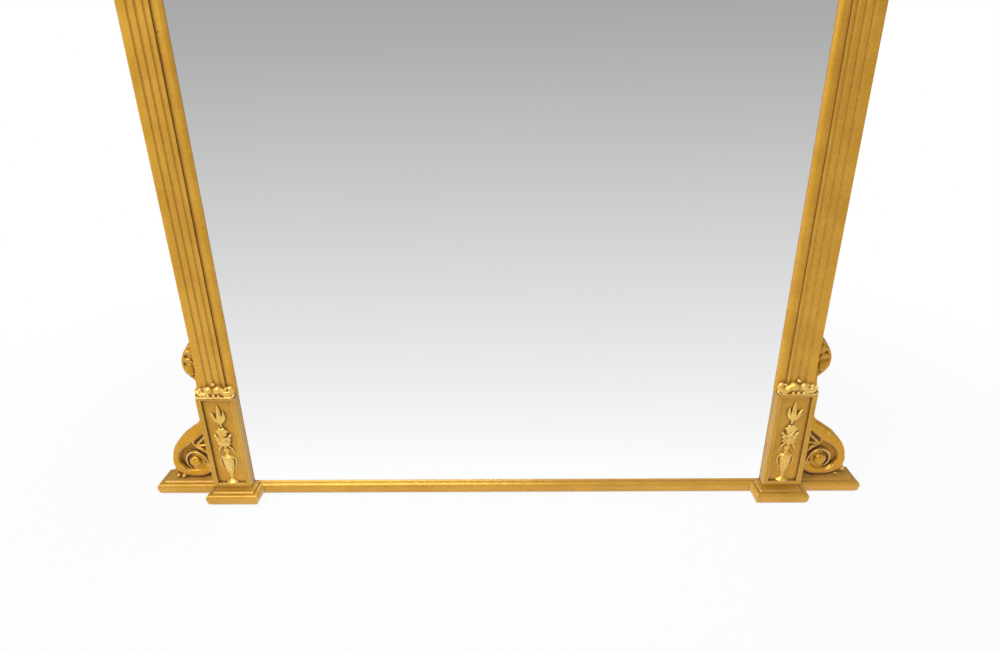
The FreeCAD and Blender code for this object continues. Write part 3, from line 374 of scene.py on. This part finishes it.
def carved(name, shape, hand, gold, *nodes, voxel):
    """One skin over the joined members, as gesso gives, a little uneven, on the hand's own side.
    It takes the place of the nodes, if any are named."""
    bmesh.ops.scale(shape, vec=(hand, 1, 1), verts=shape.verts)
    bmesh.ops.recalc_face_normals(shape, faces=shape.faces)
    rough = bpy.data.meshes.new(name)
    shape.to_mesh(rough)
    shape.free()
    piece = bpy.data.objects.new(name, rough)
    scene.collection.objects.link(piece)
    gesso = piece.modifiers.new("gesso", "REMESH")
    gesso.mode = "VOXEL"
    gesso.voxel_size = voxel * MM
    rubbed = piece.modifiers.new("rubbed", "SMOOTH")
    rubbed.factor = 0.5
    rubbed.iterations = 3
    bpy.context.view_layer.update()
    skin = bpy.data.meshes.new_from_object(piece.evaluated_get(bpy.context.evaluated_depsgraph_get()))
    piece.modifiers.clear()
    piece.data = skin
    skin.name = name
    places = []
    for corner in skin.vertices:
        uneven = noise.noise(corner.co * broad_waves) + 0.5 * noise.noise(corner.co * fine_waves)
        place = corner.co + corner.normal * uneven * waver
        place.y = min(place.y, cad_box[1].y)
        places.extend(place)
    skin.vertices.foreach_set("co", places)
    skin.polygons.foreach_set("use_smooth", [True] * len(skin.polygons))
    skin.materials.clear()
    skin.materials.append(gold)
    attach(piece, "root")
    if nodes:
        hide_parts(*nodes)


plinth_low, plinth_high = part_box("plinth_frame_right")
middle = (plinth_low.x + plinth_high.x) / 2 / MM
collar_foot = plinth_high.z / MM
hands = (("right", 1), ("left", -1))


def shifted(points, x, z):
    """Points of a member whose places across and up are given from a piece's middle and foot."""
    return [(x + across, y, z + up, wide, deep) for across, y, up, wide, deep in points]


for side, hand in hands:
    shape = bmesh.new()
    member(shape, shifted([(-39, -10, 9, 1.4, 3), (-38.5, -14.5, 4.5, 1.9, 3.6), (-30, -16, 2.2, 1.8, 3.6),
                           (-12, -16, 1.9, 1.7, 3.6), (0, -16.2, 2.2, 1.8, 3.6), (14, -16, 1.8, 1.7, 3.6),
                           (30, -16, 2.2, 1.8, 3.6), (38.5, -14.5, 4, 1.9, 3.6), (39.5, -10, 8, 1.4, 3)],
                          middle, collar_foot), flat=0.7)
    member(shape, shifted([(-35, -7, 9, 7, 5), (-16, -9, 10, 10, 6), (0, -9, 11, 11, 6),
                           (16, -9, 10, 10, 6), (35, -7, 9, 7, 5)], middle, collar_foot), steps=3)
    for across, front, up, radius in ((-9, -12.5, 18, 9), (10.5, -12.5, 17.5, 8.4),
                                      (0.5, -9.5, 28.5, 4.5), (-10, -17, 5.6, 3.2),
                                      (0, -17.5, 6, 3.6), (11, -17, 5.6, 3.1), (28, -12, 17, 5.4),
                                      (-25, -10, 19, 4.2), (19, -10, 19.5, 3.6)):
        bead(shape, middle + across, front, collar_foot + up, radius)
    member(shape, shifted([(-11, -13, 22, 3.4, 4), (-17, -14, 16.5, 5.2, 5), (-24, -15, 10, 6.2, 5.4),
                           (-31.5, -14, 10.5, 6, 5.2), (-36, -12, 15.5, 5.4, 5),
                           (-34, -11, 21, 4.8, 4.6), (-29.5, -12, 21, 3.6, 4)],
                          middle, collar_foot))
    leaf(shape, shifted([(12, -13, 11, 4.4, 4.4), (20, -14, 9.5, 6.6, 5), (28, -13.5, 10, 6.6, 4.6),
                         (35, -12, 13, 4.6, 4), (38.5, -10, 20, 2, 3)], middle, collar_foot))
    carved(f"carved_collar_{side}", shape, hand, bright_leaf, f"leaf_collar_{side}", voxel=0.7)

# Gesso in the quirks. Each coat of gesso has run into the groove between slip and pilaster and
# part filled it, which leaves a soft wavering line there.
quirk_low, quirk_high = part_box("pilaster_right")
quirk_x = quirk_low.x / MM - 1.6
quirk_y = 2.2
quirk_foot = quirk_low.z / MM + 1
quirk_head = quirk_high.z / MM - 1
stretches = 12
for side, hand in hands:
    shape = bmesh.new()
    member(shape, [(quirk_x, quirk_y + 0.3 * math.sin(level * 2.1),
                    quirk_foot + (quirk_head - quirk_foot) * level / stretches, 2.2, 2.3)
                   for level in range(stretches + 1)], steps=6)
    carved(f"quirk_gesso_{side}", shape, hand, flute_leaf, voxel=0.9)

# Urn sprays. A gadrooned urn with a ball on its lid, a bunch of leaves and flowers over it and a
# bellflower on a stalk at the top, cast in composition and pinned to the sunk panel.
panel_depth = 8
panel = plinth_low.y / MM + panel_depth
flower = 166.5
urn_flatness = 0.72
urn_outline = (
    (0, 38.5), (13, 38.5), (13.2, 41), (9, 43.5), (4.6, 47), (2.7, 52), (3.6, 55.5), (2.8, 58), (4.2, 61),
    (6.8, 69), (9, 80), (10.4, 92), (10.8, 99), (12.8, 101), (13.2, 104.5), (11.4, 106.5), (5, 108.5),
    (3.4, 112), (4.2, 114.5), (6.3, 118.5), (6.4, 122.5), (4.6, 126.5), (0, 128.5),
)


def on_panel(points, flip=1):
    """Points on the sunk panel, whose places across and out are given from its middle and its face."""
    return [(middle + flip * across, panel - out, up, wide, deep) for across, out, up, wide, deep in points]


for side, hand in hands:
    shape = bmesh.new()
    corners = [shape.verts.new(Vector((radius, 0, up)) * MM) for radius, up in urn_outline]
    edges = [shape.edges.new(pair) for pair in zip(corners, corners[1:])]
    bmesh.ops.spin(shape, geom=corners + edges, axis=(0, 0, 1), cent=(0, 0, 0), angle=math.tau, steps=28,
                   use_merge=True)
    bmesh.ops.remove_doubles(shape, verts=shape.verts, dist=0.02 * MM)
    bmesh.ops.scale(shape, vec=(1, urn_flatness, 1), verts=shape.verts)
    bmesh.ops.translate(shape, vec=Vector((middle, panel, 0)) * MM, verts=shape.verts)
    # Gadroons round the urn's bowl.
    for turn in (-66, -33, 0, 33, 66):
        across, out = math.sin(math.radians(turn)), math.cos(math.radians(turn)) * urn_flatness
        member(shape, on_panel([(radius * across, radius * out, up, wide, 1) for radius, up, wide in (
            (4.4, 62, 0.7), (7, 70, 1.1), (9, 80, 1.5), (10.3, 92, 1.8), (10.6, 97, 1.2))]), steps=3)
    # Handles, a drooping leaf over each, and three leaves to each side of the bunch.
    for flip in (-1, 1):
        member(shape, on_panel([(across, 1.5, up, wide, wide) for across, up, wide in (
            (10, 99.5, 1.1), (15, 99, 1.2), (17, 91, 1.3), (14, 80, 1.2), (9.5, 73, 1.1))], flip))
        leaf(shape, on_panel(((4, 4, 135, 2.6, 2.5), (10, 3, 129, 2.8, 2.2), (14.5, 1.5, 120, 2.2, 1.8),
                              (17, 1, 111, 0.7, 1)), flip))
        for low, tip, reach, wide in ((134, 139, 12, 3.2), (140, 148, 14, 3.6), (148, 158, 16.5, 3.9)):
            leaf(shape, on_panel(((2, 4, low, wide, 3),
                                  (reach * 0.55, 5.5, low + (tip - low) * 0.4, wide, 2.8),
                                  (reach * 0.9, 5, tip - 1, wide * 0.9, 2.6),
                                  (reach * 1.02, 3.5, tip + 2.5, wide * 0.4, 1.8)), flip), scallops=2)
    member(shape, on_panel(((0, 2, 128, 3, 4), (0, 3, 138, 6, 5.5), (0, 3, 152, 6.5, 5.5),
                            (0, 2, 164, 5, 5))))
    # The flower's six petals and its button.
    for turn, reach in ((15, 10.5), (62, 10), (118, 10), (165, 10.5), (222, 9), (318, 9)):
        across, up = math.cos(math.radians(turn)), math.sin(math.radians(turn))
        member(shape, on_panel([
            (across * share * reach, out, flower + up * share * reach, wide, 2.6)
            for share, out, wide in ((0.15, 5, 2), (0.5, 7.5, 3.8), (0.85, 7, 4.2), (1.1, 4.5, 2.2))]))
    bead(shape, middle, panel - 6.5, flower, 3)
    leaf(shape, on_panel(((-5, 6.5, 152, 2.5, 2.5), (1, 8, 156, 3, 2.4), (7, 6.5, 161, 1.4, 2))), scallops=2)
    leaf(shape, on_panel(((5, 6, 143, 2.4, 2.4), (0, 7.8, 147, 3, 2.4), (-6, 6.5, 151, 1.4, 2))), scallops=2)
    bead(shape, middle - 3, panel - 6.5, 139.5, 2.8)
    bead(shape, middle + 3.5, panel - 6.5, 137, 2.6)
    # The stalk with its knop, and the bellflower.
    member(shape, on_panel(((0, 2, 174, 1.9, 2.6), (0, 2, 187, 1.7, 2.4))))
    bead(shape, middle, panel - 3, 180, 2.4)
    member(shape, on_panel(((0, 2, 184, 2.2, 3), (0, 3, 190, 5, 4.5), (0, 2.5, 197, 4, 4))))
    leaf(shape, on_panel(((0, 2.5, 190, 3.6, 3.6), (-0.4, 5, 203, 5.4, 4), (0, 3.4, 216, 3.8, 2.8),
                          (0.8, 2, 231, 0.8, 1.4))), scallops=0)
    leaf(shape, on_panel(((-2, 3, 189, 2.6, 3), (-7.5, 5, 196, 3.6, 3.2), (-10, 5, 205, 3.4, 3),
                          (-9, 3, 216, 1, 1.6))), scallops=0)
    leaf(shape, on_panel(((2, 3, 189, 2.6, 3), (7.5, 5, 196, 3.8, 3.2), (12, 5, 204, 3.4, 3),
                          (16.5, 3, 213, 1, 1.6))), scallops=0)
    carved(f"carved_spray_{side}", shape, hand, bright_leaf, f"urn_spray_{side}", voxel=0.55)

# Scroll brackets. A stout board sawn to the scroll, its face carved with a C-shaped band that rolls
# in to an eye, a leafy sprig over the roll and a shell-like ear above; glued and dowelled to a stile.
bracket_low, bracket_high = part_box("scroll_bracket_right")
stile_edge = bracket_low.x / MM
wall = bracket_high.y / MM
board_face = 30
fullness = 1.08
back_line = (
    (735, 30), (736, 40), (735, 50), (732.5, 60), (731, 70), (729, 80), (726, 91), (721, 103),
    (715.5, 116), (706, 127.5), (691, 138), (675, 146.5), (659, 158.5), (651, 172), (648, 187),
    (647, 212), (645.5, 238), (643.5, 258), (645, 272), (653, 280), (660, 290), (663, 303), (662, 316),
    (657.5, 331), (651, 344), (642, 356), (625.5, 361.5),
)
eye = (680.5, 71)


def round_eye(angle, radius):
    """A place at an angle and a distance from the eye of the scroll."""
    return eye[0] + radius * math.cos(math.radians(angle)), eye[1] + radius * math.sin(math.radians(angle))


def on_face(points):
    """Points on the bracket's face, given as its drawing reads: across, up, then the place in depth."""
    return [(x, y, z, wide, deep) for x, z, y, wide, deep in points]


for side, hand in hands:
    shape = bmesh.new()
    # The board, a little rounded where its face meets its back line.
    outline = [(stile_edge, back_line[0][1])] + [tuple(row) for row in smooth_line(back_line, 3)]
    corners = [shape.verts.new((x * MM, wall * MM, z * MM)) for x, z in outline]
    board = shape.faces.new(corners)
    grown = bmesh.ops.extrude_face_region(shape, geom=[board])["geom"]
    front = [item for item in grown if isinstance(item, bmesh.types.BMVert)]
    bmesh.ops.translate(shape, vec=(0, (board_face - wall) * MM, 0), verts=front)
    # The band, from the stem over the shoulder, down the back and under the roll.
    member(shape, on_face((
        (634, 352, 26, 6, 5), (635, 325, 25.5, 6.5, 6), (635, 295, 25.5, 6.5, 6.5),
        (635.5, 262, 26, 8, 8.5), (637, 236, 26.5, 9.5, 9.5), (638, 212, 27, 10, 10),
        (639.5, 188, 27, 10.5, 10), (643, 171, 27, 11, 10), (653, 156.5, 27, 12, 10),
        (668, 144, 27, 13.5, 10), (684, 131, 27, 14, 10), (698, 119.5, 27, 11.5, 10),
        (711, 107, 27, 9, 10), (719.5, 93, 27, 7.2, 10), (723, 79, 27, 6.8, 10), (722.5, 66, 27, 9, 10),
        (715.5, 53, 27, 10.5, 10), (701, 43, 27, 9.8, 10), (685, 40, 27, 9.4, 10),
        (668, 42.5, 27, 10, 10), (657, 52, 27, 8.4, 9.6), (655.5, 66, 27, 5.4, 9))), steps=6, flat=0.62)
    # The dished floor of the roll and its bright rim, which winds in from the foot of the band.
    member(shape, [(eye[0] - 3, 27, eye[1] - 22, 16, 6), (eye[0] - 4, 27, eye[1] - 12, 19, 6),
                   (eye[0] - 4, 27, eye[1] + 8, 18, 6), (eye[0] - 4, 27, eye[1] + 19, 11, 6)], steps=4)
    member(shape, [(x, 23, z, wide, 7) for (x, z), wide in (
        (round_eye(300, 18.5), 1), (round_eye(335, 17.5), 1.8), (round_eye(5, 18), 2.2),
        (round_eye(38, 20.5), 2.5), (round_eye(72, 23.5), 2.8), (round_eye(105, 25), 3),
        (round_eye(140, 25.5), 3), (round_eye(172, 26.5), 2.8), (round_eye(198, 31), 2.5),
        (round_eye(220, 38), 2))], steps=6)
    # The crisp lip that ends the hollow, low on the outer side.
    member(shape, on_face(((711.5, 61, 21, 1.2, 4), (706, 52.5, 20, 1.8, 4.6), (698, 46, 20, 2, 4.6),
                           (688, 43, 21, 1.4, 4))))
    # The sprig over the roll.
    leaf(shape, on_face(((671, 108, 23, 2, 5), (662, 105.5, 20.5, 3.6, 4.6), (654.5, 100, 20, 3.8, 4.4),
                         (648, 92, 21, 2.4, 4), (644, 84, 23, 0.8, 2.5))), scallops=0)
    leaf(shape, on_face(((670, 112, 23, 2, 4.5), (661, 113.5, 20.5, 3, 4.5), (652, 114, 20.5, 2.6, 4.2),
                         (644, 112, 22.5, 0.8, 2.5))), scallops=0)
    leaf(shape, on_face(((669, 115, 23, 2, 4.5), (661, 122, 20.5, 2.8, 4.5), (653, 130, 20.5, 2.4, 4.2),
                         (647, 138, 22.5, 0.8, 2.5))), scallops=0)
    leaf(shape, on_face(((673, 112, 23, 2, 4.5), (675.5, 119, 20.5, 2.4, 4.2),
                         (674, 126, 21.5, 1, 3))), scallops=0)
    bead(shape, 671.5, 20.5, 111.5, 3.2)
    # The swelling behind the ear.
    for x, z in ((641, 332), (647, 316), (646, 296)):
        bead(shape, x, 33.5, z, 16)
    # The ear: an outer rim, two curved ridges, and a smooth lobe with faint rays below them.
    member(shape, on_face(((637, 351, 26, 2.5, 6), (648, 340, 25.5, 3.4, 7), (656, 326, 25, 3.6, 7.6),
                           (659.5, 309, 25, 3.6, 7.6), (657, 294, 25, 3.6, 7.6), (649.5, 283, 25, 3.6, 7.2),
                           (641, 274, 25.5, 4, 6.8))), steps=6, flat=0.75)
    member(shape, on_face(((636, 335, 22, 2.5, 5), (643, 337, 20, 4.2, 5.4), (650, 335, 20, 4, 5.4),
                           (655.5, 329, 22, 2.4, 5))))
    member(shape, on_face(((636.5, 312, 22, 2.5, 5), (641.5, 318, 19.5, 4.2, 5.4),
                           (649, 320.5, 19.5, 4.2, 5.4), (657, 317, 22, 2.4, 5))))
    member(shape, on_face(((643, 311, 24, 5, 5), (646.5, 303, 22, 9.5, 7), (647.5, 293, 21.5, 9.5, 7.6),
                           (645.5, 284, 23, 5, 5))), steps=6)
    for tip_x, tip_z in ((655, 306), (656.5, 299), (656, 291)):
        member(shape, on_face(((640, 287, 19, 0.8, 1.4),
                               ((640 + tip_x) / 2, (287 + tip_z) / 2, 14.9, 0.8, 1.2),
                               (tip_x, tip_z, 19, 0.7, 1.4))))
    # Beads at the toe, which the two carvers' hands made differently.
    if side == "left":
        bead(shape, 723, 18.5, 36, 5)
        bead(shape, 711, 16.5, 35.5, 4.6)
    else:
        bead(shape, 728.5, 18, 47.5, 4.4)
        bead(shape, 716, 17.5, 35, 3.6)
        bead(shape, 687, 18.5, 137.5, 3.8)
        # The right scroll was cut a little fuller.
        outer = [corner for corner in shape.verts if corner.co.x > eye[0] * MM]
        from_eye = Matrix.Translation((-eye[0] * MM, 0, 0))
        bmesh.ops.scale(shape, vec=(fullness, 1, 1), space=from_eye, verts=outer)
    carved(f"carved_bracket_{side}", shape, hand, scroll_leaf, f"scroll_bracket_{side}", voxel=1.0)

# Rosettes. Domed eyes, one set in the roll of each scroll: turned with a pin at the back, nicked
# by the carver into four petals, and gilded with the bracket.
dome_radius = 13
dome_y = 21.5
petal_y = 16.5
petal_radius = 3.6
for side, hand in hands:
    shape = bmesh.new()
    dome = Matrix.Translation(Vector((eye[0], dome_y, eye[1])) * MM) @ Matrix.Diagonal((1, 0.66, 1.05, 1))
    bmesh.ops.create_icosphere(shape, subdivisions=4, radius=dome_radius * MM, matrix=dome)
    for turn, reach in ((60, 7), (150, 7.5), (250, 7), (330, 6.5)):
        x, z = round_eye(turn, reach)
        bead(shape, x, petal_y, z, petal_radius)
    member(shape, [(eye[0], 24, eye[1] - 0.5, 5, 5), (eye[0], 28, eye[1], 5, 5)], steps=2)
    carved(f"carved_rosette_{side}", shape, hand, scroll_leaf, f"scroll_rosette_{side}", voxel=0.6)

# Paterae. Eight leaves round a button, with a bead between each two: turned, carved, and glued to
# the face of each capital.
patera_low, patera_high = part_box("patera_right")
patera_x, patera_z = ((a + b) / 2 / MM for a, b in zip(patera_low.xz, patera_high.xz))
capital_face = patera_high.y / MM
patera_radius = (patera_high.z - patera_low.z) / 2 / MM
plate_thickness = 3
leaves = 8
bead_ring = 20.5
for side, hand in hands:
    shape = bmesh.new()
    plate_y = capital_face - plate_thickness / 2
    plate = Matrix.Translation(Vector((patera_x, plate_y, patera_z)) * MM) @ Matrix.Rotation(
        math.pi / 2, 4, "X")
    bmesh.ops.create_cone(shape, cap_ends=True, segments=48, radius1=(patera_radius - 0.5) * MM,
                          radius2=(patera_radius - 2.5) * MM, depth=plate_thickness * MM, matrix=plate)
    for step in range(leaves):
        turn = (step + 0.5) * math.tau / leaves
        leaf(shape, [(patera_x + math.cos(turn) * out, capital_face - rise,
                      patera_z + math.sin(turn) * out, wide, 2)
                     for out, rise, wide in ((4, 3, 2), (9, 5.5, 4.4), (15, 5.2, 5.4), (21, 3.4, 2.6))],
             scallops=0)
    bead(shape, patera_x, capital_face - 4.5, patera_z, 4.4)
    for step in range(leaves):
        turn = step * math.tau / leaves
        bead(shape, patera_x + math.cos(turn) * bead_ring, capital_face - 3.2,
             patera_z + math.sin(turn) * bead_ring, 1.6)
    carved(f"carved_patera_{side}", shape, hand, bright_leaf, f"patera_{side}", voxel=0.6)

# Wall plates. Sawn from brass sheet that has dulled, let into the backs of the stiles and held
# there with brass screws. Each stands out past its stile, with a hole for a screw into the wall.
brass, tree = new_material("dull_brass")
tarnish = tree.noise(0.01, 4).above(0.35, 0.7)
tree.surface(Base_Color=tree.blend(tarnish, colour(214, 176, 96), colour(148, 112, 58)),
             Metallic=0.9 - tarnish * 0.15, Roughness=0.28 + tarnish * 0.25,
             Normal=tree.bump(tree.noise(0.003, 3, (1, 1, 0.1)), 0.0001))
dress(brass, "wall_plate")

# Studio. A pale floor that runs to the horizon and a white room. In glass and metal the floor
# darkens with distance, as the unlit end of the studio does, and its own shadows stay faint.
floor_half_width = 60
floor_mesh = bpy.data.meshes.new("floor")
shape = bmesh.new()
bmesh.ops.create_grid(shape, x_segments=1, y_segments=1, size=floor_half_width)
shape.to_mesh(floor_mesh)
shape.free()
floor = bpy.data.objects.new("floor", floor_mesh)
scene.collection.objects.link(floor)
paint, tree = new_material("floor_paint")
far_grey = 0.45
near_gain = 0.61
half_way = 1.28
floor_grey = 0.62
plain_white = (1, 1, 1)
near_white = 0.93


def light_path(tree):
    """Whether a ray comes from the camera, off a glossy surface, or through glass."""
    path = tree.node("ShaderNodeLightPath")
    return path[0], path[3], path[6]


camera_ray, glossy_ray, transmission_ray = light_path(tree)
apart = tree.node("ShaderNodeSeparateXYZ", inputs=(tree.place(),))[1] * -1
away = apart.maths("MAXIMUM", apart, 0)
grey = far_grey + near_gain / (1 + away / half_way)
matt = tree.node("ShaderNodeBsdfDiffuse", inputs={"Color": (floor_grey, floor_grey, floor_grey, 1)})[0]
white = tree.node("ShaderNodeEmission", inputs={"Color": (*plain_white, 1), "Strength": 1.0})[0]
mirrored = tree.node("ShaderNodeCombineXYZ", inputs=(grey, grey, grey))[0]
shown = tree.node("ShaderNodeEmission", inputs={"Color": mirrored, "Strength": 1.0})[0]
distance = tree.node("ShaderNodeVectorMath", {"operation": "LENGTH"}, (tree.place(),))[1]
seen = camera_ray * (near_white + (1 - near_white) * distance.above(0.8, 2.0))
paving = tree.node("ShaderNodeMixShader", inputs=(seen, matt, white))[0]
glass_ray = glossy_ray.maths("MAXIMUM", glossy_ray, transmission_ray)
paving = tree.node("ShaderNodeMixShader", inputs=(glass_ray, paving, shown))[0]
tree.node("ShaderNodeOutputMaterial", inputs={"Surface": paving})
floor_mesh.materials.append(paint)

ceiling_grey = 0.3
fall = 0.71
room_grey = 0.36
world = bpy.data.worlds.new("room")
scene.world = world
tree = Tree(world)
camera_ray, glossy_ray = light_path(tree)[:2]
height = tree.node("ShaderNodeSeparateXYZ", inputs=(tree.node("ShaderNodeTexCoord")[0],))[2]
fading = far_grey - fall * height
dusk = fading.maths("MAXIMUM", fading, ceiling_grey)
dusk = tree.node("ShaderNodeCombineXYZ", inputs=(dusk, dusk, dusk))[0]
room = tree.blend(glossy_ray, (room_grey, room_grey, room_grey), dusk)
room = tree.blend(camera_ray, room, plain_white)
tree.node("ShaderNodeOutputWorld", inputs={
    "Surface": tree.node("ShaderNodeBackground", inputs={"Color": room})[0]})


def softbox(name, place, target, size, power):
    """A square studio lamp that faces a point."""
    lamp = bpy.data.lights.new(name, "AREA")
    lamp.size = size
    lamp.energy = power
    lit = bpy.data.objects.new(name, lamp)
    lit.location = place
    lit.rotation_euler = (Vector(target) - Vector(place)).to_track_quat("-Z", "Y").to_euler()
    scene.collection.objects.link(lit)


softbox("lamp_above", place=(-0.9, -1.5, 3.0), target=(0, 0, 0.5), size=2.0, power=76)
softbox("lamp_left", place=(-2.4, -1.6, 2.4), target=(-0.3, 0, 0.5), size=1.4, power=26)
softbox("lamp_right", place=(2.4, -1.9, 2.2), target=(0.3, 0, 0.5), size=1.4, power=3)

# Camera. About 1.2 m in front of the glass and 0.9 m above the foot, tilted down at the ledge,
# nearly square to the mirror and nearly level.
frame_pixels = 1000
focal_pixels = 660
stand = (0.01698, -1.18913, 0.90609)
turned_left = 1.11
tilted_down = 23.114
rolled = -0.895
lens = bpy.data.cameras.new("camera")
lens.sensor_width = 36
lens.lens = focal_pixels / frame_pixels * lens.sensor_width
lens.clip_start = 0.02
lens.clip_end = 200
camera = bpy.data.objects.new("camera", lens)
turned = (Matrix.Rotation(math.radians(turned_left), 4, "Z")
          @ Matrix.Rotation(math.radians(90 - tilted_down), 4, "X")
          @ Matrix.Rotation(math.radians(rolled), 4, "Z"))
camera.matrix_world = Matrix.Translation(stand) @ turned
scene.collection.objects.link(camera)
scene.camera = camera

# Reflections. The glass would show the gilding's edges a second time beside themselves, so rays off
# a glossy surface pass the gilding by. The glass then shows the plain room alone.
for piece in scene.objects:
    if piece.type == "MESH" and any(slot.material in gold_leaves for slot in piece.material_slots):
        piece.visible_glossy = False
